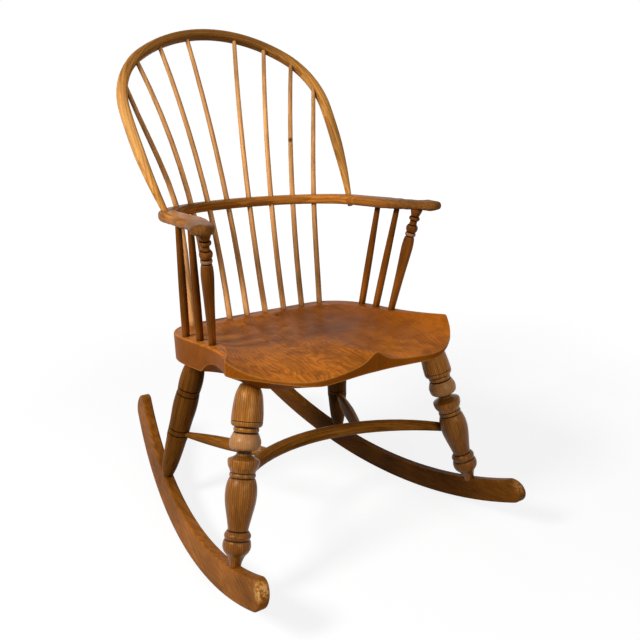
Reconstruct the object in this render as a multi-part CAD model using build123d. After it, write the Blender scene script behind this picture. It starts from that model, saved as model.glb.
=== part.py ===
from build123d import *
import math
import os

# Hoop-back Windsor rocking chair: a saddled plank seat on splayed turned legs, a bent hoop and a bent
# arm bow carried by spindles, and two bow-shaped rockers.
# Lengths are in millimetres. The chair faces -Y, +Z is up and left is the -X side.
# While the pieces are made, z = 0 is the flat deck of the seat, y runs back from the middle of the
# sides and x = 0 is the middle plane. At the end the whole chair is tipped back as it stands at rest
# and set on the floor, with the origin on the floor under the middle of its box.

# ---------------------------------------------------------------- driving dimensions
# Joinery
fit = 0.1                       # gap round a tenon in its socket, on the radius
leg_tenon_depth = 26.0          # leg tenons, blind in the seat
foot_tenon_radius = 8.0         # leg feet in the rockers
foot_tenon_depth = 25.0
spindle_seat_depth = 26.0       # spindles and arm supports, blind in the seat
spindle_bow_depth = 12.0        # short spindles and arm supports, blind in the arm bow
spindle_hoop_depth = 12.0       # long spindles, blind in the hoop
stretcher_stop = 9.0            # stretchers, blind in the legs, stop this short of the legs' axes

# Seat
seat_thickness = 54.0
bowl_depth = 18.0               # of the saddled hollow
thigh_drop = 25.0               # further fall of the hollow to the front edge
pommel_half_width = 22.0
bowl_half_width = 205.0
bowl_back = 112.0               # rear edge of the hollow
bowl_back_start = -60.0         # from here to bowl_back the hollow climbs to the deck
bowl_flare_start = -40.0        # from here forward the hollow's sides run out to the ears
bowl_flare_length = 150.0
bowl_front_flare = 60.0
thigh_drop_start = -70.0
seat_front = -290.0
bowl_side_power = 6             # how abruptly the hollow's sides and back turn up
bowl_back_power = 3
rim_overcut = 12.0              # how far the cutting surface rises above the deck round the hollow
bowl_columns = 32               # points of the cutting surface, across and along
bowl_rows = 24
cut_margin = 40.0               # cutting surfaces run this far past the plank
deck_edge_radius = 4.0

# Rockers
rocker_radius = 862.0           # underside
rocker_centre_y = -87.4
deck_to_rocker_base = 426.3     # square to the deck, down to the lowest point of the underside's arc
rocker_height = 51.5
rocker_thickness = 22.0
rocker_half_spacing = 247.0     # middle of the rocker at y = 0, z = rocker_level
rocker_level = -288.0
rocker_toe_in = 0.1365          # the rockers are closer together at the back
rocker_lean = 0.2257            # and lean outward at the bottom
rocker_front_angle = 16.85      # centres of the round noses, about the arc's centre
rocker_rear_angle = 36.3
rocker_edge_radius = 4.0

# Legs: where the axes cross the seat's underside, and the y of their feet on the rockers
front_leg_top = (216.6, -188.6)
front_leg_foot_y = -223.3
rear_leg_top = (178.6, 89.9)
rear_leg_foot_y = 175.8
front_foot_offset = -2.0        # from the middle of the rocker's thickness
rear_foot_offset = 2.0
front_tenon_radius = 14.5
rear_tenon_radius = 15.5
leg_shoulder = 5.0              # plain length of the front leg's tenon below the seat
foot_overlap = 4.0              # the foot's tenon starts this far up inside the ankle

# Stretchers
crinoline_joint = 200.9         # down the front leg from the seat, at the fullest part of its baluster
crinoline_apex = (-38.0, -248.5)    # y and z of the middle of the curve
crinoline_width = 27.0
crinoline_height = 28.0
crinoline_end_radius = 8.5
crinoline_taper_power = 3       # the higher, the nearer the ends it thins
crinoline_steps = 24            # straight lengths that make up its curve
spur_joint = 189.2              # down the rear leg from the seat, just above its lower ring
spur_meets_x = 115.0            # on the crinoline
spur_rise = 3.0                 # above the crinoline's middle line
spur_tenon_radius = 6.5
spur_tenon_depth = 5.0          # past the crinoline's middle line
spur_root_share = 0.125         # of its length, the plain tenon in the rear leg
spur_belly_share = 0.58
spur_belly_radius = 13.0
spur_end_radius = 9.8           # at the crinoline

# Arm bow
arm_half_width = 232.0          # middle line of the arm at y = 0
bow_thickness = 21.0
bow_height = 244.4              # top face at y = 0
bow_rise = 0.058                # the bow climbs to the rear
bow_edge_radius = 8.0

# Hoop
hoop_lean = 26.94               # from upright
hoop_foot_y = -46.0             # where the hoop's plane crosses the deck's level
hoop_top = 689.5                # centre line, up the leaned plane
hoop_swell = 17.0               # the hoop is this much wider than the arm's middle line
hoop_crown_radius = 320.0
hoop_shoulder_radius = 158.0
hoop_leg_radius = 1200.0
hoop_width = 20.5               # radial
hoop_depth = 24.0
hoop_corner_radius = 8.0
hoop_taper = 130.0              # length of the taper above the arm bow
hoop_taper_middle = 0.55        # how full it still is half way down
hoop_tenon_radius = 6.5
hoop_end_corner = 6.4           # corner radius where the taper runs into the round tenon
hoop_neck = 5.0                 # plain round length above the bow
hoop_tenon_stand = 3.0          # how far the tenon stands out under the bow
wedge_length = 12.0
wedge_width = 10.4
wedge_thickness = 2.4
wedge_tip_thickness = 0.6

# Spindles
back_spindles = [               # x and y on the deck, and at the arm bow, and x under the hoop
    ((23.7, 143.5), (27.5, 188.0), 58.5),
    ((70.6, 139.0), (79.8, 178.0), 128.8),
    ((118.6, 136.0), (128.0, 162.0), 190.1),
    ((165.8, 130.8), (arm_half_width - 60, 140.5), 231.2),
]
back_spindle_radii = (6.6, 5.9, 4.7)    # at the deck, in the bow and at the hoop
spindle_steps = 10              # straight lengths that make up a long spindle's gentle bend
arm_spindles = {                # x and y on the deck and at the arm bow
    "rear": ((223.8, 42.7), (arm_half_width + 10.6, -5.5)),
    "front": ((220.5, -11.9), (arm_half_width + 14.7, -65.2)),
}
arm_spindle_radii = (7.6, 8.0, 7.5, 6.0)        # at the deck, 0.3 and 0.6 of the way up, and at the bow
support_seat = (221.3, -64.3)
support_bow = (arm_half_width + 19.3, -125.5)
support_foot_radius = 7.4
support_head_radius = 5.5


# ---------------------------------------------------------------- helpers
def along(start, end, distance):
    """Point on the line from start to end, a distance from start."""
    return start + (end - start).normalized() * distance


def rod(start, end, radius):
    """Plain cylinder between two points."""
    return Plane(origin=start, z_dir=end - start) * Cylinder(
        radius, (end - start).length, align=(Align.CENTER, Align.CENTER, Align.MIN)
    )


def turned(start, end, members):
    """Turned piece on the line from start towards end. Each member of its outline is given by
    (distance, radius) points: two make a straight run, three a curve. Square steps join the members."""
    edges = []
    last = (0, members[0][0][0])
    for member in members:
        points = [(radius, distance) for distance, radius in member]
        if last != points[0]:
            edges.append(Line(last, points[0]))
        edges.append(Line(*points) if len(points) == 2 else Spline(*points))
        last = points[-1]
    edges.append(Line(last, (0, last[1])))
    edges.append(Line((0, last[1]), (0, members[0][0][0])))
    profile = Plane.XZ * make_face(Curve() + edges)
    return Plane(origin=start, z_dir=end - start) * revolve(profile, Axis.Z)


def mirrored(piece):
    return mirror(piece, about=Plane.YZ)


# ---------------------------------------------------------------- places shared by several pieces
rocker_centre_z = rocker_radius - deck_to_rocker_base
rocker_top_radius = rocker_radius - rocker_height


def rocker_x(y, z):
    """Middle of the right rocker's thickness."""
    return rocker_half_spacing - rocker_toe_in * y - rocker_lean * (z - rocker_level)


def rocker_top(y):
    """Point on the middle of the right rocker's top edge."""
    z = rocker_centre_z - math.sqrt(rocker_top_radius**2 - (y - rocker_centre_y) ** 2)
    return Vector(rocker_x(y, z), y, z)


def bow_top(x, y):
    return Vector(x, y, bow_height + bow_rise * y)


def bow_under(x, y):
    return bow_top(x, y) - Vector(0, 0, bow_thickness)


front_top = Vector(*front_leg_top, -seat_thickness)
front_foot = rocker_top(front_leg_foot_y) + Vector(front_foot_offset, 0, 0)
rear_top = Vector(*rear_leg_top, -seat_thickness)
rear_foot = rocker_top(rear_leg_foot_y) + Vector(rear_foot_offset, 0, 0)


# ---------------------------------------------------------------- rockers
def rocker_crescent():
    """Side view of a rocker, a bent bar with round noses, as a prism across x."""
    middle_radius = (rocker_radius + rocker_top_radius) / 2
    start = -90 - rocker_front_angle
    sweep_angle = rocker_front_angle + rocker_rear_angle
    middle_line = CenterArc((rocker_centre_y, rocker_centre_z), middle_radius, start, sweep_angle)
    outline = SlotArc(middle_line, rocker_height)
    return extrude(Plane.YZ * outline, 2 * rocker_half_spacing)


def rocker():
    """Right rocker: the crescent cut from a leaning, toed-in board, with eased edges."""
    board = Plane(
        origin=(rocker_half_spacing, 0, rocker_level),
        x_dir=(-rocker_toe_in, 1, 0),
        z_dir=(1, rocker_toe_in, rocker_lean),
    ) * Box(2 * rocker_radius, 2 * rocker_radius, rocker_thickness)
    board = rocker_crescent() & board
    return fillet(board.edges(), rocker_edge_radius)


# ---------------------------------------------------------------- legs
def foot_tenon(top, foot, grow=0):
    """Tenon or socket of a leg in its rocker."""
    start = along(foot, top, foot_overlap)
    return rod(start, along(foot, top, -foot_tenon_depth), foot_tenon_radius + grow)


def leg(top, foot, tenon_radius, members):
    """Turned leg: a blind tenon up into the seat, the turning, and a tenon down into the rocker.
    The foot is cut to the rocker's curve."""
    foot_distance = (foot - top).length + foot_tenon_depth
    ankle = members[-1][-1]
    tenon = [(-leg_tenon_depth, tenon_radius), members[0][0]]
    body = turned(top, foot, [tenon, *members, [ankle, (foot_distance, ankle[1])]])
    return body - rocker_crescent() + foot_tenon(top, foot)


front_members = [
    [(leg_shoulder, front_tenon_radius), (27, 25.2), (64.7, 28)],   # upper vase
    [(64.7, 28), (71.8, 25.5)],
    [(75.4, 19.5), (80.7, 22.2), (85.2, 18.2)],                     # bead
    [(87.9, 20), (101.5, 26.9), (114.6, 25.7)],                     # bell
    [(118.1, 12.9), (123.1, 12.9)],                                 # neck
    [(129.9, 25), (133.3, 26.6), (142.9, 24)],                      # cup
    [(142.9, 24), (153.7, 20.8)],
    [(156.4, 19.5), (160.8, 21.7), (165.3, 18.6)],                  # ring
    [(168.4, 20), (186, 27.3), (205.1, 26.6)],                      # baluster
    [(205.1, 26.6), (231, 22), (256.7, 16.8)],
    [(259.9, 19), (267.1, 23), (272.9, 19.5)],                      # ring
    [(275.9, 20.5), (285.5, 24.7), (296.5, 21.3)],                  # ball
    [(296.5, 21.3), (303.5, 15.2), (311.6, 10.6)],
]
rear_members = [
    [(leg_shoulder + 2, rear_tenon_radius), (34, 22.4), (83.7, 24.2)],
    [(84.7, 23.2), (87, 23.7), (89.3, 23.2)],                       # upper ring
    [(90.3, 24.4), (112, 25.8), (145, 24.6)],
    [(145, 24.6), (170, 23.3), (196.7, 23)],
    [(197.7, 21.8), (200, 22.4), (202.3, 21.6)],                    # lower ring
    [(203.3, 22), (233, 20.2), (259, 18)],
    [(259, 18), (279, 15.2), (295.7, 11.5)],
]


# ---------------------------------------------------------------- stretchers
front_joint = along(front_top, front_foot, crinoline_joint)
rear_joint = along(rear_top, rear_foot, spur_joint)
crinoline_curve = ThreePointArc(
    (-front_joint.X, front_joint.Y, front_joint.Z), (0, *crinoline_apex), front_joint
)


def crinoline(grow=0):
    """Bent stretcher between the front legs, thickest in the middle. Its thin ends are the tenons."""
    inset = stretcher_stop / crinoline_curve.length
    curve = crinoline_curve.trim(inset, 1 - inset)
    sections = []
    for step in range(crinoline_steps + 1):
        place = step / crinoline_steps
        fullness = 1 - abs(2 * place - 1) ** crinoline_taper_power
        width = crinoline_end_radius + (crinoline_width / 2 - crinoline_end_radius) * fullness
        height = crinoline_end_radius + (crinoline_height / 2 - crinoline_end_radius) * fullness
        sections.append((curve ^ place) * Ellipse(width + grow, height + grow + 0.001))
    return loft(sections, ruled=True)


def crinoline_point(x):
    """Point on the crinoline's middle line, by x."""
    centre = crinoline_curve.arc_center
    return Vector(x, centre.Y + math.sqrt(crinoline_curve.radius**2 - x**2), crinoline_apex[1])


spur_end = crinoline_point(spur_meets_x) + Vector(0, 0, spur_rise)


def spur():
    """Turned side stretcher from the rear leg to the crinoline, fullest towards the crinoline."""
    length = (spur_end - rear_joint).length
    root = spur_root_share * length
    belly = spur_belly_share * length
    swell = (spur_tenon_radius + 2 * spur_belly_radius) / 3
    waist = (spur_belly_radius * 3 + spur_end_radius) / 4
    members = [
        [(stretcher_stop, spur_tenon_radius), (root, spur_tenon_radius)],
        [(root, spur_tenon_radius), ((root + belly) / 2, swell), (belly, spur_belly_radius)],
        [(belly, spur_belly_radius), ((belly + length) / 2, waist), (length, spur_end_radius)],
    ]
    body = turned(rear_joint, spur_end, members) - crinoline(fit / 2)
    return body + spur_tenon()


def spur_tenon(grow=0):
    """Tenon or socket of a side stretcher in the crinoline."""
    start = along(spur_end, rear_joint, crinoline_width)
    return rod(start, along(spur_end, rear_joint, -spur_tenon_depth), spur_tenon_radius + grow)


def spur_root(grow=0):
    """Tenon or socket of a side stretcher in the rear leg."""
    start = along(rear_joint, spur_end, stretcher_stop)
    return rod(start, along(rear_joint, spur_end, 2 * rear_tenon_radius), spur_tenon_radius + grow)


# ---------------------------------------------------------------- seat
def seat_outline():
    """Plan of the plank: a straight back edge, waisted sides, ears, and a front edge dipping at x = 0."""
    side = Spline((150, 158), (195, 141), (226, 95), (237, 35), (238, -80), (250, -150), (265, -190))
    front = Spline((265, -190), (240, -227), (200, -263), (150, -290), (100, -292), (0, -284))
    half = [Line((0, 158), (150, 158)), side, front]
    other = [mirror(edge, about=Plane.YZ) for edge in half]
    return make_face(Curve() + half + other)


def saddle_height(x, y):
    """Height of the carved hollow's surface, which counts only where it is below the deck."""
    half_width = bowl_half_width
    if y < bowl_flare_start:
        half_width += bowl_front_flare * ((bowl_flare_start - y) / bowl_flare_length) ** 2
    back_share = max(0, y - bowl_back_start) / (bowl_back - bowl_back_start)
    drop_share = (max(0, thigh_drop_start - y) / (thigh_drop_start - seat_front)) ** 2
    beside_pommel = 1 - 1 / (1 + (x / pommel_half_width) ** 2)
    depth = bowl_depth + thigh_drop * drop_share * beside_pommel
    beside = (abs(x) / half_width) ** bowl_side_power
    height = -depth * (1 - beside - back_share**bowl_back_power)
    return height if height < 0 else rim_overcut * math.tanh(height / rim_overcut)


def saddle_cut():
    """The air above the hollow."""
    length = bowl_back - seat_front + 1.5 * cut_margin
    reach = bowl_half_width + bowl_front_flare + cut_margin
    grid = []
    for row in range(bowl_rows + 1):
        y = seat_front - cut_margin + length * row / bowl_rows
        xs = [reach * (2 * column / bowl_columns - 1) for column in range(bowl_columns + 1)]
        grid.append([(x, y, saddle_height(x, y)) for x in xs])
    surface = Face.make_surface_from_array_of_points(grid, tol=0.05)
    return Solid.extrude(surface, Vector(0, 0, 2 * cut_margin))


# Where the planed wedge leaves the flat underside, and the lower edge of the plank's rim beside it
underside_rim = [
    ((243, -30), (250, -28, -55)),
    ((213, -85), (240, -90, -29)),
    ((207, -125), (247, -125, -25)),
    ((212, -165), (256, -158, -25.5)),
    ((216, -214), (267, -192, -27)),
    ((198, -243), (241, -229, -32)),
    ((175, -262), (201, -264, -40)),
    ((150, -279), (172, -284, -46)),
    ((95, -308), (100, -314, -56)),
]
underside_overrun = 1.3         # the cutting surface runs on past the rim by this share


def underside_cut():
    """The wedge planed off under a front corner. The rear of the plank keeps its full thickness."""
    inner = [Vector(x, y, -seat_thickness) for (x, y), rim in underside_rim]
    outer = [
        near + (Vector(*rim) - near) * underside_overrun for near, (place, rim) in zip(inner, underside_rim)
    ]
    surface = Face.make_surface_from_curves(Spline(*inner), Spline(*outer))
    return Solid.extrude(surface, Vector(0, 0, -seat_thickness))


def seat(cutters):
    plank = extrude(seat_outline(), -seat_thickness)
    plank = fillet(plank.faces().sort_by(Axis.Z)[-1].edges(), deck_edge_radius)
    plank -= saddle_cut()
    wedge = underside_cut()
    plank -= [wedge, mirrored(wedge)]
    return plank - cutters


# ---------------------------------------------------------------- hoop
lean = math.radians(hoop_lean)
hoop_half_width = arm_half_width + hoop_swell
hoop_plane = Plane(
    origin=(0, hoop_foot_y, 0), x_dir=(1, 0, 0), z_dir=(0, -math.cos(lean), math.sin(lean))
)
crown_centre = hoop_top - hoop_crown_radius
shoulder_x = hoop_half_width - hoop_shoulder_radius
shoulder_angle = math.degrees(math.acos(shoulder_x / (hoop_crown_radius - hoop_shoulder_radius)))
shoulder_height = crown_centre + (hoop_crown_radius - hoop_shoulder_radius) * math.sin(
    math.radians(shoulder_angle)
)
leg_centre_x = hoop_half_width - hoop_leg_radius


def hoop_point(angle):
    """Point on the right leg of the hoop, by the angle below the shoulder."""
    turn = math.radians(angle)
    return hoop_plane.from_local_coords(
        Vector(leg_centre_x + hoop_leg_radius * math.cos(turn),
               shoulder_height - hoop_leg_radius * math.sin(turn))
    )


def hoop_tangent(angle):
    """Direction up the right leg of the hoop."""
    turn = math.radians(angle)
    return hoop_plane.from_local_coords(Vector(math.sin(turn), math.cos(turn))) - hoop_plane.origin


def hoop_angle_at_bow():
    """Where the right leg's centre line goes through the arm bow's top face."""
    low = 0.0
    high = 30.0
    while high - low > 1e-6:
        middle = (low + high) / 2
        point = hoop_point(middle)
        if point.Z > bow_top(point.X, point.Y).Z:
            low = middle
        else:
            high = middle
    return low


bow_angle = hoop_angle_at_bow()
taper_angle = bow_angle - math.degrees(hoop_taper / hoop_leg_radius)
hoop_seat_point = hoop_point(bow_angle)
hoop_down = hoop_tangent(bow_angle) * -1


def hoop_section(angle, share):
    """Section of the right leg, share 1 where it is full and 0 at the tenon."""
    width = 2 * hoop_tenon_radius + (hoop_width - 2 * hoop_tenon_radius) * share
    depth = 2 * hoop_tenon_radius + (hoop_depth - 2 * hoop_tenon_radius) * share
    corner = hoop_end_corner + (hoop_corner_radius - hoop_end_corner) * share
    up = hoop_tangent(angle)
    plane = Plane(origin=hoop_point(angle), x_dir=up.cross(hoop_plane.z_dir), z_dir=up)
    return plane * RectangleRounded(width, depth, corner)


hoop_tenon_length = -bow_thickness / hoop_down.Z + hoop_tenon_stand


def hoop_tenon(grow=0):
    top = hoop_seat_point - hoop_down * hoop_neck
    return rod(top, hoop_seat_point + hoop_down * hoop_tenon_length, hoop_tenon_radius + grow)


def hoop(cutters):
    crown = CenterArc((0, crown_centre), hoop_crown_radius, shoulder_angle, 180 - 2 * shoulder_angle)
    shoulder = CenterArc((shoulder_x, shoulder_height), hoop_shoulder_radius, 0, shoulder_angle)
    side = CenterArc((leg_centre_x, shoulder_height), hoop_leg_radius, -taper_angle, taper_angle)
    right = [side, shoulder]
    left = [mirror(edge, about=Plane.YZ) for edge in right]
    path = (hoop_plane * (Curve() + right + [crown] + left)).wire()
    bend = sweep(hoop_section(taper_angle, 1), path)
    end_angle = bow_angle - math.degrees(hoop_neck / hoop_leg_radius)
    stations = [(taper_angle, 1), ((taper_angle + end_angle) / 2, hoop_taper_middle), (end_angle, 0)]
    taper = loft([hoop_section(angle, share) for angle, share in stations])
    end = taper + hoop_tenon()
    return bend + [end, mirrored(end)] - cutters


# ---------------------------------------------------------------- arm bow
side = arm_half_width
bow_plan = [                    # inner and outer edge of the right half, from the middle to the hand
    ((0, 176), (0, 206)),
    ((60, 170), (62, 200)),
    ((115, 155), (124, 183.5)),
    ((side - 67, 125), (side - 48, 151)),
    ((side - 37, 92), (side - 7, 114)),
    ((side - 24, 50), (side + 14, 64)),
    ((side - 20, 0), (side + 20, 6)),
    ((side - 19, -50), (side + 27, -50)),
    ((side - 11, -100), (side + 39, -102)),
    ((side + 3, -142), (side + 56, -144)),
    ((side + 15, -164), (side + 54, -165)),
    ((side + 27, -172), (side + 45, -173)),
]


def bow_blank():
    """Bent arm rail in one piece, with wider rounded hands: a loft through sections across the bow."""
    plane = Plane(origin=(0, 0, bow_height), x_dir=(1, 0, 0), z_dir=(0, -bow_rise, 1))
    right = bow_plan[1:]
    left = [((-inner[0], inner[1]), (-outer[0], outer[1])) for inner, outer in reversed(right)]
    sections = []
    for inner, outer in [*left, *bow_plan]:
        near = plane.from_local_coords(Vector(*inner, -bow_thickness / 2))
        far = plane.from_local_coords(Vector(*outer, -bow_thickness / 2))
        across = far - near
        station = Plane(origin=(near + far) * 0.5, x_dir=across, z_dir=across.cross(plane.z_dir))
        sections.append(station * RectangleRounded(across.length, bow_thickness, bow_edge_radius))
    return loft(sections)


# ---------------------------------------------------------------- spindles
def hoop_under(x):
    """Point on the underside of the right half of the hoop's crown or shoulder, by x."""
    radius = hoop_crown_radius - hoop_width / 2
    if x < radius * math.cos(math.radians(shoulder_angle)):
        height = crown_centre + math.sqrt(radius**2 - x**2)
    else:
        inner = hoop_shoulder_radius - hoop_width / 2
        height = shoulder_height + math.sqrt(max(0, inner**2 - (x - shoulder_x) ** 2))
    return hoop_plane.from_local_coords(Vector(x, height))


def back_spindle(place, grow=0):
    """Long spindle: up from the seat, through the arm bow and into the hoop. It is sprung to an even
    bend, but the outermost bends most where it goes through the bow."""
    (deck_x, deck_y), bow_place, hoop_x = place
    deck = Vector(deck_x, deck_y, 0)
    crossing = bow_top(*bow_place) - Vector(0, 0, bow_thickness / 2)
    tip = hoop_under(hoop_x)
    if place == back_spindles[-1]:
        curve = Spline(deck, crossing, tip, tangents=[crossing - deck, tip - crossing])
    else:
        curve = ThreePointArc(deck, crossing, tip)
    bow_share = (crossing - deck).length / curve.length
    r_deck, r_bow, r_hoop = [radius + grow for radius in back_spindle_radii]
    stations = []
    for step in range(spindle_steps + 1):
        share = step / spindle_steps
        if share < bow_share:
            radius = r_deck + (r_bow - r_deck) * share / bow_share
        else:
            radius = r_bow + (r_hoop - r_bow) * (share - bow_share) / (1 - bow_share)
        stations.append((curve ^ share) * Circle(radius))
    foot = rod(deck, deck - (curve % 0) * spindle_seat_depth, r_deck)
    head = rod(tip, tip + (curve % 1) * spindle_hoop_depth, r_hoop)
    return loft(stations, ruled=True) + [foot, head]


def arm_spindle(place, grow=0):
    """Short turned spindle between the seat and the arm bow."""
    deck = Vector(*place[0], 0)
    under = bow_under(*place[1])
    length = (under - deck).length
    r_deck, r_belly, r_neck, r_bow = [radius + grow for radius in arm_spindle_radii]
    members = [
        [(-spindle_seat_depth, r_deck), (0, r_deck)],
        [(0, r_deck), (0.3 * length, r_belly), (0.6 * length, r_neck)],
        [(0.6 * length, r_neck), (length, r_bow)],
        [(length, r_bow), (length + spindle_bow_depth, r_bow)],
    ]
    return turned(deck, under, members)


def arm_support(grow=0):
    """Turned baluster under each hand, with two beads and a cup at the top."""
    deck = Vector(*support_seat, 0)
    under = bow_under(*support_bow)
    length = (under - deck).length
    members = [
        [(-spindle_bow_depth, support_head_radius), (0, support_head_radius)],
        [(0.5, 6.8), (5.8, 11.2), (11, 5.6)],                       # bead
        [(11, 5.3), (13.5, 5.3)],
        [(13.5, 5.5), (20, 10.2), (26, 5.2)],                       # bead
        [(26, 4.8), (29.5, 4.8)],
        [(29.5, 5.5), (37, 10.4), (45, 7.6)],                       # cup
        [(45, 7.6), (47.5, 8.7), (50.2, 7.4)],
        [(50.2, 7.4), (66, 11.4), (88, 11.9)],                      # baluster
        [(88, 11.9), (150, 9.6), (length, support_foot_radius)],
        [(length, support_foot_radius), (length + spindle_seat_depth, support_foot_radius)],
    ]
    members = [[(distance, radius + grow) for distance, radius in member] for member in members]
    return turned(under, deck, members)


# ---------------------------------------------------------------- fitting and placing
def leg_tenon(top, foot, radius, grow=0):
    """Tenon or socket of a leg in the seat, run out through the plank's underside."""
    return rod(along(top, foot, -leg_tenon_depth), along(top, foot, radius), radius + grow)


def wedge():
    """Small wedge driven up into the end of a hoop tenon, to spread it in the arm bow."""
    tip = Plane(
        origin=hoop_seat_point + hoop_down * (hoop_tenon_length - wedge_length), x_dir=(1, 0, 0),
        z_dir=hoop_down,
    )
    back = tip.offset(wedge_length)
    end = back * Rectangle(wedge_width, wedge_thickness)
    return loft([tip * Rectangle(wedge_width, wedge_tip_thickness), end])


def both(piece):
    return [piece, mirrored(piece)]


long_sockets = []
for place in back_spindles:
    long_sockets += both(back_spindle(place, fit))
short_sockets = []
for place in arm_spindles.values():
    short_sockets += both(arm_spindle(place, fit))
support_sockets = both(arm_support(fit))
leg_sockets = both(leg_tenon(front_top, front_foot, front_tenon_radius, fit))
leg_sockets += both(leg_tenon(rear_top, rear_foot, rear_tenon_radius, fit))

front_leg = leg(front_top, front_foot, front_tenon_radius, front_members) - crinoline(fit)
rear_leg = leg(rear_top, rear_foot, rear_tenon_radius, rear_members) - spur_root(fit)
foot_sockets = [foot_tenon(front_top, front_foot, fit), foot_tenon(rear_top, rear_foot, fit)]
wedge_right = wedge()

pieces = {
    "seat": seat(leg_sockets + long_sockets + short_sockets + support_sockets),
    "arm_bow": bow_blank() - long_sockets - short_sockets - support_sockets - both(hoop_tenon(fit)),
    "back_hoop": hoop(long_sockets + both(wedge_right)),
    "hoop_wedges": Part() + both(wedge_right),
    "crinoline_stretcher": crinoline() - both(spur_tenon(fit)),
}
right_pieces = {
    "rocker": rocker() - foot_sockets,
    "front_leg": front_leg,
    "rear_leg": rear_leg,
    "spur_stretcher": spur(),
    "arm_support": arm_support(),
    "arm_spindle_rear": arm_spindle(arm_spindles["rear"]),
    "arm_spindle_front": arm_spindle(arm_spindles["front"]),
}
for number, place in enumerate(back_spindles, start=1):
    right_pieces["back_spindle_" + str(number)] = back_spindle(place)
for name, piece in right_pieces.items():
    pieces[name + "_right"] = piece
    pieces[name + "_left"] = mirrored(piece)

# The chair comes to rest with its centre of mass under the centre of the rockers' arc. It is tipped
# back to that angle and put on the floor, with its origin under the middle of its box.
volume = sum(piece.volume for piece in pieces.values())
balance = Vector()
for piece in pieces.values():
    balance += piece.center(CenterOf.MASS) * (piece.volume / volume)
rest_tilt = math.degrees(math.atan2(balance.Y - rocker_centre_y, rocker_centre_z - balance.Z))
tipped = {name: Rot(-rest_tilt, 0, 0) * piece for name, piece in pieces.items()}
boxes = [piece.bounding_box() for piece in tipped.values()]
front_end = min(box.min.Y for box in boxes)
rear_end = max(box.max.Y for box in boxes)
on_floor = Pos(0, -(front_end + rear_end) / 2, -min(box.min.Z for box in boxes))
os.makedirs("parts", exist_ok=True)
for name, piece in tipped.items():
    export_step(on_floor * piece, "parts/" + name + ".step")
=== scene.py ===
import math

import bpy
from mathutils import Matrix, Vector


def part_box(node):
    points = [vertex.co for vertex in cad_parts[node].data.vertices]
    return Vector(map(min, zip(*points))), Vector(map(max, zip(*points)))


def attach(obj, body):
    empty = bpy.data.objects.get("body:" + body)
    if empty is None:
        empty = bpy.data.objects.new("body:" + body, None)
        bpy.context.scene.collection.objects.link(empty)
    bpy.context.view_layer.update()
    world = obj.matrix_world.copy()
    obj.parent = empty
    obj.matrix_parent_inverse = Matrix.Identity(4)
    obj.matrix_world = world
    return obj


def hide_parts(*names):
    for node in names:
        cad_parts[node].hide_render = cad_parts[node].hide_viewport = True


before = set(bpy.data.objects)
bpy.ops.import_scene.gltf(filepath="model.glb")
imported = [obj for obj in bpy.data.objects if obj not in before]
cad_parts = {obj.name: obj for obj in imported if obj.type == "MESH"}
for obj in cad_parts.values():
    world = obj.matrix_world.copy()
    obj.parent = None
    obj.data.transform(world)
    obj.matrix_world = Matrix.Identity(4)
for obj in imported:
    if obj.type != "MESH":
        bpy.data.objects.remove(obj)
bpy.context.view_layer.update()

# ---------------------------------------------------------------- seat
# A single elm plank, adzed and scraped into a saddle, with its grain running from front to back.
# Use and old wax have darkened the hollow and the joints, which also carry painted shade, the
# edges are rubbed pale, and a small knot shows at the rear. The sides and the right ear are painted
# darker as shade.


def join(material, start, end):
    material.node_tree.links.new(start, end)


def add_node(material, kind, **settings):
    """Adds a shader node. Settings are its properties, or its inputs where a property has no such name."""
    node = material.node_tree.nodes.new("ShaderNode" + kind)
    for name, value in settings.items():
        if hasattr(node, name):
            setattr(node, name, value)
        else:
            node.inputs[name.replace("_", " ").title()].default_value = value
    return node


def reckon(material, operation, *values):
    """One Math node. A value is a number or a socket."""
    node = add_node(material, "Math", operation=operation)
    for value, socket in zip(values, node.inputs):
        if isinstance(value, (int, float)):
            socket.default_value = value
        else:
            join(material, value, socket)
    return node.outputs["Value"]


def straight_grain(material, origin, along):
    """Coordinates in metres, with Z up the grain of a straight piece."""
    place = add_node(material, "TexCoord")
    turn = add_node(material, "Mapping", vector_type="TEXTURE", Location=origin)
    turn.inputs["Rotation"].default_value = Vector((0, 0, 1)).rotation_difference(along).to_euler()
    join(material, place.outputs["Object"], turn.inputs["Vector"])
    return turn.outputs["Vector"]


def drawn_out(material, space, stretch):
    """The same coordinates with the grain direction drawn out."""
    node = add_node(material, "VectorMath", operation="DIVIDE")
    node.inputs[1].default_value = (1, 1, stretch)
    join(material, space, node.inputs[0])
    return node.outputs["Vector"]


def noise(material, space, scale, detail, roughness=0.5):
    """A cloudy pattern with about as many clouds to a metre as its scale."""
    node = add_node(material, "TexNoise", Scale=scale, Detail=detail, Roughness=roughness)
    join(material, space, node.inputs["Vector"])
    return node


def marks(material, grain, stretch, scale, detail, roughness=0.5):
    """How strong a mark drawn out along the grain is, from 0 to 1."""
    return noise(material, drawn_out(material, grain, stretch), scale, detail, roughness).outputs["Fac"]


def level(material, value, low, high, bottom, top):
    """Maps a value from low..high to bottom..top and stops there."""
    node = add_node(material, "MapRange", From_Min=low, From_Max=high, To_Min=bottom, To_Max=top)
    join(material, value, node.inputs["Value"])
    return node.outputs["Result"]


def blend(material, kind, amount, below, above):
    """Mixes two colours. The amount and the colours are values or sockets."""
    node = add_node(material, "Mix", data_type="RGBA", blend_type=kind)
    for value, socket in ((amount, node.inputs["Factor"]), (below, node.inputs[6]), (above, node.inputs[7])):
        if isinstance(value, tuple):
            socket.default_value = (*value, 1)
        elif isinstance(value, (int, float)):
            socket.default_value = value
        else:
            join(material, value, socket)
    return node.outputs[2]


def shade(colour, factor):
    return tuple(part * factor for part in colour)


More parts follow.
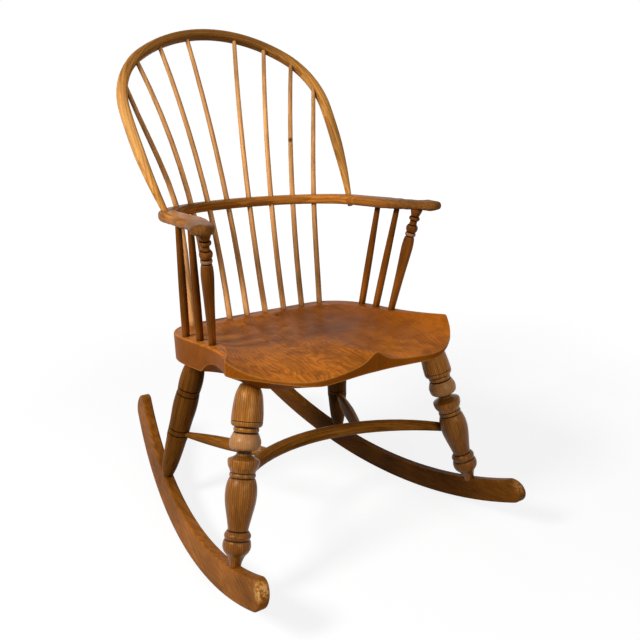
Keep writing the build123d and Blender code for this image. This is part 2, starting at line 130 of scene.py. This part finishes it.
def spot(material, middle, radius, softness=0.5):
    """1 inside a round spot on the surface, 0 outside."""
    place = add_node(material, "TexCoord")
    reach = add_node(material, "VectorMath", operation="DISTANCE")
    reach.inputs[1].default_value = middle
    join(material, place.outputs["Object"], reach.inputs[0])
    full_within = radius * (1 - softness)
    return level(material, reach.outputs["Value"], low=full_within, high=radius, bottom=1.0, top=0.0)


def grey(material, value):
    """A grey colour from one value."""
    node = add_node(material, "CombineColor")
    for channel in ("Red", "Green", "Blue"):
        join(material, value, node.inputs[channel])
    return node.outputs["Color"]


def waxed_wood(name, find_grain, pale, dark, ring_width, wander, figure=0.6, polish=0.36, run=5,
               shine=0.02, streaks=0.3, bloom=0.5):
    """Old waxed wood. Growth rings wander by a distance, fibres and open pores run up the grain, the
    patina is uneven, and dirt and painted shade lie in the corners. find_grain makes the coordinates,
    figure is how strongly the rings show, run is how far they keep their course, shine is the
    strength of the wax's reflection, streaks how strongly the fibres show, and bloom how uneven the
    patina is."""
    wood = bpy.data.materials.new(name)
    wood.use_nodes = True
    shader = wood.node_tree.nodes["Principled BSDF"]
    grain = find_grain(wood)

    drift = noise(wood, drawn_out(wood, grain, run), scale=14, detail=3)
    bend = add_node(wood, "VectorMath", operation="MULTIPLY_ADD")
    bend.inputs[1].default_value = (wander, wander, wander)
    join(wood, drift.outputs["Color"], bend.inputs[0])
    join(wood, drawn_out(wood, grain, stretch=6), bend.inputs[2])
    rings = add_node(wood, "TexWave", wave_type="RINGS", rings_direction="Z", wave_profile="SAW")
    wave_rate = 20                                      # the texture's own, in radians to a unit
    rings.inputs["Scale"].default_value = math.tau / (wave_rate * ring_width)
    rings.inputs["Distortion"].default_value = 0.5
    join(wood, bend.outputs["Vector"], rings.inputs["Vector"])
    late_wood = level(wood, rings.outputs["Fac"], low=0.3, high=0.95, bottom=0.0, top=figure)

    fibre = marks(wood, grain, stretch=30, scale=700, detail=3, roughness=0.6)
    streak = marks(wood, grain, stretch=45, scale=230, detail=2)
    pores = marks(wood, grain, stretch=16, scale=1100, detail=1)
    patina = marks(wood, grain, stretch=2.5, scale=9, detail=4, roughness=0.6)

    colour = blend(wood, "MIX", late_wood, pale, dark)
    fibre_depth = 0.5 * streaks
    for mark, depth in ((fibre, fibre_depth), (streak, streaks), (patina, bloom)):
        tone = level(wood, mark, low=0.3, high=0.7, bottom=1 - depth, top=1 + depth)
        colour = blend(wood, "MULTIPLY", 1.0, colour, grey(wood, tone))
    open_pore = level(wood, pores, low=0.32, high=0.42, bottom=streaks, top=0.0)
    pore_colour = shade(dark, 0.35)
    colour = blend(wood, "MIX", open_pore, colour, pore_colour)

    # Dirt with painted shade: corners and joints are darkened by how hidden they are from the room.
    corner = add_node(wood, "AmbientOcclusion", samples=8, Distance=0.022)
    grime_and_shade = level(wood, corner.outputs["AO"], low=0.2, high=0.9, bottom=0.9, top=0.0)
    grime_and_shade_colour = shade(dark, 0.12)
    colour = blend(wood, "MIX", grime_and_shade, colour, grime_and_shade_colour)
    join(wood, colour, shader.inputs["Base Color"])

    rough_fibre, smooth_patina = 0.15, -0.2
    rough = reckon(wood, "MULTIPLY_ADD", fibre, rough_fibre, polish)
    rough = reckon(wood, "MULTIPLY_ADD", patina, smooth_patina, rough)
    join(wood, rough, shader.inputs["Roughness"])
    wax_tint = (1.0, 0.72, 0.42, 1)
    shader.inputs["Specular IOR Level"].default_value = shine
    shader.inputs["Specular Tint"].default_value = wax_tint

    pore_depth = -1.2
    relief = add_node(wood, "Bump", Strength=0.35, Distance=0.0004)
    join(wood, reckon(wood, "MULTIPLY_ADD", open_pore, pore_depth, fibre), relief.inputs["Height"])
    join(wood, relief.outputs["Normal"], shader.inputs["Normal"])
    return wood


def paint_over(wood, mark, colour, amount=1.0):
    """Mixes a colour over the wood's own, by the amount where the mark is 1."""
    surface = wood.node_tree.nodes["Principled BSDF"].inputs["Base Color"]
    below = surface.links[0].from_socket
    if amount < 1:
        mark = reckon(wood, "MULTIPLY", mark, amount)
    join(wood, blend(wood, "MIX", mark, below, colour), surface)


def finish_in(node, material):
    """Gives a piece of the frame its finish."""
    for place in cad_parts[node].material_slots:
        place.material = material


def wear_edges(wood, width, amount, colour, softest=0.985):
    """Rubs the wax off the edges, over about a width. softest is the cosine of the softest turn that
    counts as an edge."""
    surface = add_node(wood, "NewGeometry")
    eased = add_node(wood, "Bevel", samples=6, Radius=width)
    turn = add_node(wood, "VectorMath", operation="DOT_PRODUCT")
    join(wood, surface.outputs["Normal"], turn.inputs[0])
    join(wood, eased.outputs["Normal"], turn.inputs[1])
    bare = softest - 0.08
    rub_and_highlight = level(wood, turn.outputs["Value"], low=bare, high=softest, bottom=amount, top=0.0)
    paint_over(wood, rub_and_highlight, colour)


def facing_up(wood):
    """How far the surface faces up: 1 on a level top, 0 on a side."""
    surface = add_node(wood, "NewGeometry")
    parts = add_node(wood, "SeparateXYZ")
    join(wood, surface.outputs["Normal"], parts.inputs["Vector"])
    return parts.outputs["Z"]


elm_pale = (0.62, 0.184, 0.016)
elm_dark = (0.32, 0.080, 0.005)
mottle_colour = (0.17, 0.044, 0.005)
unused_colour = (0.62, 0.24, 0.05)
seat_edge_colour = (0.66, 0.27, 0.06)
sat_on_colour = (0.24, 0.072, 0.017)
side_shade_colour = shade(elm_dark, 0.7)
knot_colour = shade(elm_dark, 0.12)
seat_low, seat_high = (Vector(corner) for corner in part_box("seat"))
seat_middle = (seat_low + seat_high) / 2
right_ear = Vector((seat_high.x, seat_middle.y, seat_high.z))
unused_place = (-0.22, 0.05, 0.41)
sat_on_place = (0.03, 0.03, 0.40)
knots = (((0.027, 0.106, 0.399), 0.0055), ((-0.182, -0.164, 0.425), 0.0022))   # place and radius
tree_heart = Vector((-0.03, 0.03, 0.34))        # of the tree, just under the plank
seat_fall = Vector((0.05, 1, -0.06))            # the plank's own length, tipped back
seat_wood = waxed_wood(
    "seat_elm", lambda wood: straight_grain(wood, tree_heart, seat_fall), elm_pale, elm_dark,
    ring_width=0.007, wander=0.07, figure=0.64, polish=0.40, run=1.7, shine=0.014, streaks=0.16,
    bloom=0.4,
)


def seat_clouds(scale, roughness):
    """Clouds in the seat's patina, from 0 to 1."""
    space = straight_grain(seat_wood, seat_middle, seat_fall)
    return noise(seat_wood, space, scale, detail=4, roughness=roughness).outputs["Fac"]


mottle = level(seat_wood, seat_clouds(scale=34, roughness=0.65), low=0.46, high=0.66, bottom=0.0, top=0.62)
paint_over(seat_wood, mottle, mottle_colour)
unused = spot(seat_wood, unused_place, radius=0.16, softness=0.9)
paint_over(seat_wood, unused, unused_colour, amount=0.4)
# Painted shade: the sides of the plank, which face away from the light above, are painted darker.
shaded_side_of_plank = level(seat_wood, facing_up(seat_wood), low=0.3, high=0.8, bottom=0.8, top=0.0)
paint_over(seat_wood, shaded_side_of_plank, side_shade_colour)
wear_edges(seat_wood, width=0.005, amount=0.5, colour=seat_edge_colour, softest=0.992)
# Painted shade: the right ear, away from the lamp, is painted darker.
paint_over(seat_wood, spot(seat_wood, right_ear, radius=0.30, softness=0.8), elm_dark, amount=0.75)
sat_on = level(seat_wood, seat_clouds(scale=16, roughness=0.6), low=0.3, high=0.6, bottom=0.3, top=1.0)
sat_on = reckon(seat_wood, "MULTIPLY", sat_on, spot(seat_wood, sat_on_place, radius=0.24, softness=0.6))
paint_over(seat_wood, sat_on, sat_on_colour, amount=0.7)
for middle, radius in knots:
    paint_over(seat_wood, spot(seat_wood, middle, radius, softness=0.6), knot_colour)
finish_in("seat", seat_wood)

# ---------------------------------------------------------------- rear legs
# Turned from straight-grained billets with rings cut by the skew, and tapped into blind holes
# under the seat. Their feet have round tenons in the rockers. Both are painted darker as the shade
# under the seat, the right one most.
turned_pale = (0.40, 0.145, 0.022)
turned_dark = (0.14, 0.036, 0.003)
turned_ring_width = 0.0035


def stick_line(node):
    """The lower end, the direction and the very top of a straight piece."""
    points = [vertex.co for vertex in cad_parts[node].data.vertices]
    low = min(point.z for point in points)
    high = max(point.z for point in points)
    end_height = 0.06 * (high - low)
    foot = [point for point in points if point.z < low + end_height]
    head = [point for point in points if point.z > high - end_height]
    bottom = sum(foot, Vector()) / len(foot)
    top = sum(head, Vector()) / len(head)
    along = (top - bottom).normalized()
    tip = bottom + max((point - bottom).dot(along) for point in points) * along
    return bottom, along, tip


def stick_wood(node, pale, dark, ring_width, figure=0.7, polish=0.34, shine=0.03):
    """Wood for a straight piece cleft well away from the heart of its tree."""
    foot, along, _ = stick_line(node)
    heart = foot + Vector((0.25, -0.15, 0))
    return waxed_wood(
        node + "_wood", lambda wood: straight_grain(wood, heart, along), pale, dark,
        ring_width=ring_width, wander=0.008, figure=figure, polish=polish, shine=shine,
    )


def band(wood, middle, along, half_width):
    """1 in a thin band round a stick, 0 elsewhere."""
    place = add_node(wood, "TexCoord")
    offset = add_node(wood, "VectorMath", operation="SUBTRACT")
    offset.inputs[1].default_value = middle
    join(wood, place.outputs["Object"], offset.inputs[0])
    reach = add_node(wood, "VectorMath", operation="DOT_PRODUCT")
    reach.inputs[1].default_value = along
    join(wood, offset.outputs["Vector"], reach.inputs[0])
    gap = reckon(wood, "ABSOLUTE", reach.outputs["Value"])
    return level(wood, gap, low=0.5 * half_width, high=half_width, bottom=1.0, top=0.0)


scribed_heights = (0.168, 0.180, 0.261, 0.274)          # above the floor, in two pairs
scribed_half_width = 0.0018
scribed_colour = shade(turned_dark, 0.15)
dark_lift = 0.2                                         # the dark of the rings is toned down less
# Painted shade: each leg's wood is toned down, the right one more.
for side, tone in (("left", 0.60), ("right", 0.42)):
    node = "rear_leg_" + side
    leg_pale = shade(turned_pale, tone)
    leg_dark = shade(turned_dark, tone + dark_lift)
    wood = stick_wood(node, leg_pale, leg_dark, turned_ring_width, shine=0.02)
    foot, along, _ = stick_line(node)
    for height in scribed_heights:
        middle = foot + (height - foot.z) / along.z * along
        paint_over(wood, band(wood, middle, along, scribed_half_width), scribed_colour)
    finish_in(node, wood)

# ---------------------------------------------------------------- front legs
# Turned like the rear ones, and richer: a long bell with a scribed line over a square skirt, a
# bead, a cup, a thin neck, a flared collar, a vase and a bulb, all with crisp edges from the skew.
sides = ("left", "right")
MM = 0.001
front_outline = [                                       # height above the foot and radius, in mm
    [(12, 4), (12, 7.5)], [(12, 7.5), (22, 7.5)],       # tenon
    [(22, 10.6), (29, 11.2), (36, 13.4), (43, 16.8), (50, 22.6), (56, 25.1), (62, 25.6), (68, 24.6),
     (71, 23.0)],
    [(71.6, 22.3), (74, 23.0), (77.5, 24.2), (81, 23.6), (85, 21.0), (87, 19.2)],
    [(87.6, 18.5), (92, 18.9), (105, 21.4), (120, 24.6), (136, 27.6), (150, 28.9)],
    [(150, 28.9), (162, 28.2), (170, 26.8), (176, 25.0), (180.5, 22.8)],
    [(181, 22.4), (183, 23.4), (185.5, 23.9), (188, 23.2), (189.5, 22.4)],
    [(190, 22.6), (195, 24.6), (200, 27.2), (206, 28.7), (211, 28.9)],
    [(211, 28.9), (213.5, 27.6), (217, 20), (221, 14.6), (226, 13.8), (230.5, 14.2)],
    [(230.8, 24.8), (233.5, 27.0), (239, 28.3), (246, 28.4), (252, 26.6), (258, 24.0), (261, 22.4)],
    [(261.3, 21.4), (263, 22.4), (266, 23.2), (269, 22.6), (271.5, 21.4)],
    [(272, 25.8), (274, 27.6), (277, 28.6), (281, 28.9)],
    [(281.4, 28.1), (282.4, 28.1)],                     # scribed line
    [(282.8, 28.9), (295, 28.6), (310, 27.3), (322, 25.8), (332, 23.6), (340, 20.3), (347, 16.8)],
    [(347, 14.5), (368, 14.5)], [(368, 14.5), (368, 8)],        # tenon
]
front_grooves = [                                       # height and half width of the dirt and painted shade in them
    (71.3, 1.6), (87.3, 1.8), (180.8, 1.6), (189.7, 1.4), (226, 4.0), (261.2, 2.0), (271.8, 2.0), (282, 1.1),
]
front_cup = 247                                         # height of its middle
curve_steps = 5
turning_segments = 72
crisp_angle = math.radians(35)


def smooth_run(points):
    """Points on a smooth curve through the given ones."""
    if len(points) < 3:
        return points
    ends = [points[0]] + points + [points[-1]]
    curve = []
    for before, start, end, after in zip(ends, ends[1:], ends[2:], ends[3:]):
        for step in range(curve_steps):
            part = step / curve_steps
            curve.append(tuple(
                0.5 * (2 * p1 + (p2 - p0) * part + (2 * p0 - 5 * p1 + 4 * p2 - p3) * part ** 2
                       + (3 * p1 - p0 - 3 * p2 + p3) * part ** 3)
                for p0, p1, p2, p3 in zip(before, start, end, after)
            ))
    return curve + [points[-1]]


def turned_piece(name, outline, foot, along):
    """A closed turned mesh on an axis. A run of the outline is smooth, and runs meet at an edge."""
    profile = []
    for run in outline:
        curve = smooth_run(run)
        profile += curve[1:] if profile and curve[0] == profile[-1] else curve
    across = along.orthogonal().normalized()
    beside = along.cross(across)
    points = []
    for height, radius in profile:
        for number in range(turning_segments):
            angle = math.tau * number / turning_segments
            spoke = math.cos(angle) * across + math.sin(angle) * beside
            points.append(foot + MM * height * along + MM * radius * spoke)
    faces = []
    for ring in range(len(profile) - 1):
        for number in range(turning_segments):
            here = ring * turning_segments + number
            beyond = ring * turning_segments + (number + 1) % turning_segments
            faces.append((here, beyond, beyond + turning_segments, here + turning_segments))
    last = (len(profile) - 1) * turning_segments
    faces.append(tuple(reversed(range(turning_segments))))
    faces.append(tuple(range(last, last + turning_segments)))
    mesh = bpy.data.meshes.new(name)
    mesh.from_pydata(points, [], faces)
    mesh.shade_smooth()
    mesh.set_sharp_from_angle(angle=crisp_angle)
    piece = bpy.data.objects.new(name, mesh)
    bpy.context.collection.objects.link(piece)
    return piece


front_pale = shade(turned_pale, 1.12)
front_edge_colour = (0.62, 0.30, 0.10)
front_foot_colour = shade(turned_dark, 0.8)
cup_highlight_colour = (0.66, 0.36, 0.17)
groove_dirt_and_shade_colour = shade(turned_dark, 0.1)
for side in sides:
    node = "front_leg_" + side
    foot, along, _ = stick_line(node)
    leg = turned_piece("turned_" + node, front_outline, foot, along)
    wood = stick_wood(node, front_pale, turned_dark, turned_ring_width, polish=0.32, shine=0.24)
    wear_edges(wood, width=0.0025, amount=0.5, colour=front_edge_colour)
    paint_over(wood, band(wood, foot, along, half_width=0.2), front_foot_colour, amount=0.5)
    # Painted highlight: the cup is painted paler where the light catches it.
    cup_highlight = band(wood, foot + front_cup * MM * along, along, half_width=0.018)
    paint_over(wood, cup_highlight, cup_highlight_colour, amount=0.35)
    # Dirt and painted shade darken the grooves.
    for height, half_width in front_grooves:
        groove = band(wood, foot + height * MM * along, along, half_width * MM)
        paint_over(wood, groove, groove_dirt_and_shade_colour)
    leg.data.materials.append(wood)
    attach(leg, "root")
    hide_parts(node)

# ---------------------------------------------------------------- rockers
# Sawn from thick boards to a long curve, so that the grain follows the board and not the curve.
# Feet and the floor have worn their edges and noses pale, and the right one is painted darker
# all over as the shade that the seat casts on it.
rocker_pale = (0.34, 0.112, 0.013)
rocker_dark = (0.18, 0.048, 0.004)
rocker_edge_colour = (0.50, 0.21, 0.04)
nose_colour = (0.62, 0.32, 0.10)
board_run = Vector((0, 1, 0.05))
# Painted shade: the right rocker's wood is toned darker for the seat's shadow.
for side, out, worn in (("left", -1, 1.0), ("right", 1, 0.48)):
    node = "rocker_" + side
    low, high = (Vector(corner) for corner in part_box(node))
    heart = (low + high) / 2 + Vector((0.10, 0, -0.25))
    wood = waxed_wood(
        node + "_wood", lambda wood: straight_grain(wood, heart, board_run), shade(rocker_pale, worn),
        shade(rocker_dark, worn), ring_width=0.007, wander=0.04, figure=0.45, polish=0.38, streaks=0.2,
    )
    wear_edges(wood, width=0.004, amount=0.4, colour=rocker_edge_colour)
    nose = Vector((out * 0.316, -0.391, 0.129))
    chips = noise(wood, straight_grain(wood, nose, board_run), scale=160, detail=3, roughness=0.6)
    rub_and_highlight = level(wood, chips.outputs["Fac"], low=0.42, high=0.5, bottom=0.0, top=worn)
    rub_and_highlight = reckon(wood, "MULTIPLY", rub_and_highlight, spot(wood, nose, radius=0.022))
    paint_over(wood, rub_and_highlight, nose_colour)
    finish_in(node, wood)

# ---------------------------------------------------------------- stretchers
# The front stretcher is steamed and bent, and thinned at its ends to enter the front legs. The two
# side stretchers are turned, and let into it.


def bent_grain(material, middle, tilt, half_width, squareness):
    """Coordinates for a U-shaped bend: across it, square to its plane, and on along its length.

    middle is where the bend meets the straight sides, tilt turns the bend's plane about X from the
    floor, and squareness is 2 for a half circle and more for a squarer bend."""
    place = add_node(material, "TexCoord")
    turn = add_node(material, "Mapping", vector_type="TEXTURE", Location=middle, Rotation=(tilt, 0, 0))
    join(material, place.outputs["Object"], turn.inputs["Vector"])
    parts = add_node(material, "SeparateXYZ")
    join(material, turn.outputs["Vector"], parts.inputs["Vector"])
    wide = reckon(material, "ABSOLUTE", parts.outputs["X"])
    deep = reckon(material, "MAXIMUM", parts.outputs["Y"], 0.0)
    behind = reckon(material, "MINIMUM", parts.outputs["Y"], 0.0)
    total = reckon(
        material, "ADD",
        reckon(material, "POWER", wide, squareness), reckon(material, "POWER", deep, squareness),
    )
    across = reckon(material, "POWER", total, 1 / squareness)
    angle = reckon(material, "ARCTAN2", deep, parts.outputs["X"])
    turned = reckon(material, "MULTIPLY", angle, half_width)
    onward = reckon(material, "ADD", turned, behind)
    space = add_node(material, "CombineXYZ")
    join(material, across, space.inputs["X"])
    join(material, parts.outputs["Z"], space.inputs["Y"])
    join(material, onward, space.inputs["Z"])
    return space.outputs["Vector"]


stretcher_pale = (0.30, 0.108, 0.014)
stretcher_dark = (0.16, 0.048, 0.005)
low, high = (Vector(corner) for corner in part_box("crinoline_stretcher"))
crinoline_radius = 0.2687
crinoline_half_thickness = 0.0135
crinoline_tilt = -0.15
crinoline_turn = high.y - crinoline_radius - crinoline_half_thickness
crinoline_centre = Vector((0, crinoline_turn, (low.z + high.z) / 2))
finish_in("crinoline_stretcher", waxed_wood(
    "crinoline_wood",
    lambda wood: bent_grain(wood, crinoline_centre, crinoline_tilt, crinoline_radius, squareness=2),
    stretcher_pale, stretcher_dark, ring_width=0.004, wander=0.012, polish=0.36,
))
for side, out in (("left", -1), ("right", 1)):
    node = "spur_stretcher_" + side
    low, high = (Vector(corner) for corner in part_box(node))
    along = Vector((out * (high.x - low.x), high.y - low.y, 0)).normalized()
    heart = (low + high) / 2 + Vector((0.02, 0, 0.04))
    finish_in(node, waxed_wood(
        node + "_wood", lambda wood: straight_grain(wood, heart, along), stretcher_pale, stretcher_dark,
        ring_width=turned_ring_width, wander=0.01, polish=0.36,
    ))

# ---------------------------------------------------------------- hoop
# Steamed and bent in one length, so the grain follows the bend. Its round tenons go through the arm
# bow and are spread there by small wedges, and hands have darkened its crown.


def place_parts(material):
    """The place of a point, as X, Y and Z sockets in metres."""
    place = add_node(material, "TexCoord")
    parts = add_node(material, "SeparateXYZ")
    join(material, place.outputs["Object"], parts.inputs["Vector"])
    return parts.outputs


hoop_pale = (0.66, 0.300, 0.070)
hoop_dark = (0.34, 0.112, 0.012)
crown_colour = (0.15, 0.050, 0.008)
highlight_ash_colour = (0.84, 0.50, 0.20)
hoop_thickness = 0.02
squarer_bend = 2.4
low, high = (Vector(corner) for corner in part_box("back_hoop"))
hoop_half_width = (high.x - low.x) / 2 - hoop_thickness / 2
hoop_rise = math.atan2(high.z - low.z - hoop_thickness, high.y - low.y - hoop_thickness)
up_the_hoop = Vector((0, math.cos(hoop_rise), math.sin(hoop_rise)))
hoop_turn = Vector((0, high.y, high.z)) - hoop_half_width * up_the_hoop
hoop_wood = waxed_wood(
    "hoop_ash", lambda wood: bent_grain(wood, hoop_turn, hoop_rise, hoop_half_width, squarer_bend),
    hoop_pale, hoop_dark, ring_width=0.005, wander=0.012, figure=0.6, polish=0.34,
)
height = place_parts(hoop_wood)["Z"]
crown = level(hoop_wood, height, low=high.z - 0.14, high=high.z - 0.03, bottom=0.0, top=0.64)
paint_over(hoop_wood, crown, crown_colour)
# Painted highlight: the hoop's left leg, which faces the lamp, is painted paler.
highlight_place = (-hoop_half_width - hoop_thickness, low.y + 0.06, low.z + 0.20)      # low on the left
rub_and_highlight = spot(hoop_wood, highlight_place, radius=0.15, softness=0.9)
paint_over(hoop_wood, rub_and_highlight, highlight_ash_colour, amount=0.4)
finish_in("back_hoop", hoop_wood)
finish_in("hoop_wedges", waxed_wood(
    "wedge_wood", lambda wood: straight_grain(wood, hoop_turn, Vector((0, 0, 1))),
    stretcher_dark, shade(stretcher_dark, 0.5), ring_width=0.003, wander=0.01, polish=0.5,
))

# ---------------------------------------------------------------- arm bow
# Bent in one length like the hoop, with a wider hand left at each end. Handling has darkened and
# greyed the hands, which still have the flats of the spokeshave.
arm_pale = (0.46, 0.165, 0.024)
arm_dark = (0.26, 0.080, 0.009)
hand_colour = (0.13, 0.055, 0.018)
low, high = (Vector(corner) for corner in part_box("arm_bow"))
bow_half_width = 0.232
bow_half_thickness = 0.015
bow_tilt = -0.1
bow_turn = Vector((0, high.y - bow_half_width - bow_half_thickness, (low.z + high.z) / 2))
arm_wood = waxed_wood(
    "arm_bow_ash", lambda wood: bent_grain(wood, bow_turn, bow_tilt, bow_half_width, squarer_bend),
    arm_pale, arm_dark, ring_width=0.005, wander=0.015, polish=0.36,
)
depth = place_parts(arm_wood)["Y"]
handled = level(arm_wood, depth, low=low.y + 0.06, high=low.y + 0.22, bottom=0.6, top=0.0)
paint_over(arm_wood, handled, hand_colour)

voxel = 0.002
hand_length = 0.13
hand_blend = 0.05
bow_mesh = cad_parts["arm_bow"].data.copy()
bow = bpy.data.objects.new("worn_arm_bow", bow_mesh)
bpy.context.collection.objects.link(bow)
evened = bow.modifiers.new("evened", "REMESH")
evened.mode = "VOXEL"
evened.voxel_size = voxel
evened.use_smooth_shade = True


def apply_to(piece):
    """Puts what a piece's modifiers make into its mesh."""
    made = bpy.data.meshes.new_from_object(piece.evaluated_get(bpy.context.evaluated_depsgraph_get()))
    piece.modifiers.clear()
    piece.data = made


apply_to(bow)
hands = bow.vertex_groups.new(name="hands")
rest = bow.vertex_groups.new(name="rest")
for vertex in bow.data.vertices:
    reach = min(1.0, max(0.0, (low.y + hand_length - vertex.co.y) / hand_blend))
    hands.add([vertex.index], reach, "REPLACE")
    rest.add([vertex.index], 1.0, "REPLACE")
for group, rounds in (("rest", 3), ("hands", 110)):
    worn = bow.modifiers.new("worn_" + group, "SMOOTH")
    worn.factor = 0.5
    worn.iterations = rounds
    worn.vertex_group = group
flats = bpy.data.textures.new("flats", "VORONOI")
flats.noise_scale = 0.022
flats.distance_metric = "DISTANCE_SQUARED"
cut = bow.modifiers.new("cut", "DISPLACE")
cut.texture = flats
cut.texture_coords = "LOCAL"
cut.strength = 0.0028
cut.mid_level = 0.45
cut.vertex_group = "hands"
apply_to(bow)
bow.data.materials.clear()
bow.data.materials.append(arm_wood)
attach(bow, "root")
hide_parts("arm_bow")

# ---------------------------------------------------------------- spindles and arm supports
# Slender rods of cleft wood, sprung through the arm bow into the hoop, with short stouter ones and
# a turned support under each hand.
spindle_pale = (0.74, 0.360, 0.125)
spindle_dark = (0.44, 0.175, 0.045)
support_pale = (0.30, 0.092, 0.011)
support_dark = (0.17, 0.045, 0.004)
cleft_ring_width = 0.004
knotty_spindle = "back_spindle_3_right"                 # has a small knot half way up
spindle_knot = (0.1445, 0.248, 0.763)
for side in sides:
    for number in (1, 2, 3, 4):
        node = "back_spindle_%d_%s" % (number, side)
        tone = 0.72 if side == "right" and number > 2 else 1.0
        rod_pale = shade(spindle_pale, tone)
        rod_dark = shade(spindle_dark, tone)
        wood = stick_wood(node, rod_pale, rod_dark, cleft_ring_width, figure=0.4)
        if node == knotty_spindle:
            paint_over(wood, spot(wood, spindle_knot, radius=0.007), shade(spindle_dark, 0.3))
        finish_in(node, wood)
    for node in ("arm_spindle_front_" + side, "arm_spindle_rear_" + side):
        finish_in(node, stick_wood(node, support_pale, support_dark, cleft_ring_width, figure=0.5))

support_head = [                                        # distance under the top and radius, in mm
    [(0, 3), (0, 5.4)], [(0, 5.4), (10, 5.4)],          # tenon in the bow
    [(10, 12.6), (15, 11.8), (21, 10.0), (26, 8.2)],
    [(26.3, 9.4), (28, 11.0), (30.5, 11.5), (33, 10.8), (34.5, 9.2)],
    [(35, 8.0), (39, 7.6), (44, 8.4)],
    [(45, 10.0), (49, 12.2), (53, 12.5), (57, 11.6), (59.5, 10.2)],
    [(60, 9.6), (62, 9.6)],
    [(62.3, 10.8), (65, 11.4), (68, 10.9)],             # ring with a painted highlight
    [(68.4, 9.2), (71.5, 9.0)],
]
highlit_ring = 65
support_grooves = (26, 35, 44.5, 61, 70)
support_foot = 7.3                                      # radius
seat_tenon = 26                                         # length
support_edge_colour = (0.50, 0.22, 0.08)
ring_highlight_colour = (0.50, 0.27, 0.15)
for side in sides:
    node = "arm_support_" + side
    foot, along, tip = stick_line(node)
    length = max((tip - vertex.co).dot(along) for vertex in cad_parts[node].data.vertices) / MM
    shoulder = length - seat_tenon
    support_outline = support_head + [
        [(72, 10.2), (80, 11.6), (95, 12.3), (115, 11.6), (145, 10.2), (185, 8.8), (shoulder, support_foot)],
        [(shoulder, support_foot), (length, support_foot)], [(length, support_foot), (length, 3)],
    ]
    support = turned_piece("turned_" + node, support_outline, tip, -along)
    body_pale = shade(support_pale, 0.85)
    wood = stick_wood(node, body_pale, support_dark, cleft_ring_width, figure=0.5, polish=0.32, shine=0.08)
    wear_edges(wood, width=0.002, amount=0.4, colour=support_edge_colour)
    # Dirt and painted shade darken the grooves.
    for distance in support_grooves:
        groove = band(wood, tip - distance * MM * along, along, half_width=0.0016)
        paint_over(wood, groove, shade(support_dark, 0.1))
    # Painted highlight: a pale band round the ring.
    ring_highlight = band(wood, tip - highlit_ring * MM * along, along, half_width=0.0034)
    paint_over(wood, ring_highlight, ring_highlight_colour, amount=0.5)
    support.data.materials.append(wood)
    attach(support, "root")
    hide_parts(node)

# ---------------------------------------------------------------- floor
# A plain matt floor that takes the chair's shadow. It shows as white paper, a little greyer round
# the chair than further out.
floor_half = 6.0
floor_mesh = bpy.data.meshes.new("floor")
corners = [(x * floor_half, y * floor_half, 0) for x, y in ((-1, -1), (1, -1), (1, 1), (-1, 1))]
floor_mesh.from_pydata(corners, [], [(0, 1, 2, 3)])
floor = bpy.data.objects.new("floor", floor_mesh)
bpy.context.collection.objects.link(floor)


def seen_directly(material):
    """1 where the camera, a reflection or clear glass shows the surface, 0 for light that it gives."""
    path = add_node(material, "LightPath")
    seen = reckon(material, "MAXIMUM", path.outputs["Is Camera Ray"], path.outputs["Is Glossy Ray"])
    return reckon(material, "MAXIMUM", seen, path.outputs["Is Transmission Ray"])


paint = bpy.data.materials.new("floor_paint")
paint.use_nodes = True
paint.node_tree.nodes.clear()
matt = add_node(paint, "BsdfDiffuse", Color=(0.22, 0.22, 0.22, 1))
seen = seen_directly(paint)
place = add_node(paint, "TexCoord")
reach = add_node(paint, "VectorMath", operation="LENGTH")
join(paint, place.outputs["Object"], reach.inputs[0])
glow_level = level(paint, reach.outputs["Value"], low=0.8, high=2.4, bottom=0.84, top=1.0)
glow = add_node(paint, "Emission")
join(paint, reckon(paint, "MULTIPLY", seen, glow_level), glow.inputs["Strength"])
both = add_node(paint, "AddShader")
join(paint, matt.outputs["BSDF"], both.inputs[0])
join(paint, glow.outputs["Emission"], both.inputs[1])
surface = add_node(paint, "OutputMaterial")
join(paint, both.outputs["Shader"], surface.inputs["Surface"])
floor_mesh.materials.append(paint)

# ---------------------------------------------------------------- light
# A pale room with one soft lamp high on the left, a weaker one in front, and a faint one behind on
# the right.
room_light = 0.08
world = bpy.data.worlds.new("room")
bpy.context.scene.world = world
world.use_nodes = True
air = world.node_tree.nodes["Background"]
air.inputs["Color"].default_value = (1, 1, 1, 1)
room_glow = level(world, seen_directly(world), low=0, high=1, bottom=room_light, top=1.0)
join(world, room_glow, air.inputs["Strength"])


def lamp(name, place, aim, size, power):
    data = bpy.data.lights.new(name, "AREA")
    data.shape = "SQUARE"
    data.size = size
    data.energy = power
    light = bpy.data.objects.new(name, data)
    light.location = place
    light.rotation_euler = (Vector(aim) - Vector(place)).to_track_quat("-Z", "Y").to_euler()
    bpy.context.collection.objects.link(light)


chair_middle = (0, 0, 0.5)
lamp("key_lamp", (-2.9, -0.3, 2.5), chair_middle, size=0.8, power=104)
lamp("fill_lamp", (-0.4, -3.1, 1.7), chair_middle, size=1.0, power=34)
lamp("rear_lamp", (0.9, 2.6, 1.9), chair_middle, size=1.4, power=8)

# ---------------------------------------------------------------- camera
# Stands to the left of the chair's front, nearly as high as the top of the hoop, and looks down
# a little.
view = bpy.data.cameras.new("camera")
view.sensor_width = 36
view.lens = 45
view.shift_x = 0.0047
camera = bpy.data.objects.new("camera", view)
camera.location = (-0.8940, -1.3146, 0.9705)
camera.rotation_euler = [math.radians(angle) for angle in (71.066, -2.127, -35.269)]
bpy.context.collection.objects.link(camera)
bpy.context.scene.camera = camera
bpy.context.scene.view_settings.view_transform = "Standard"
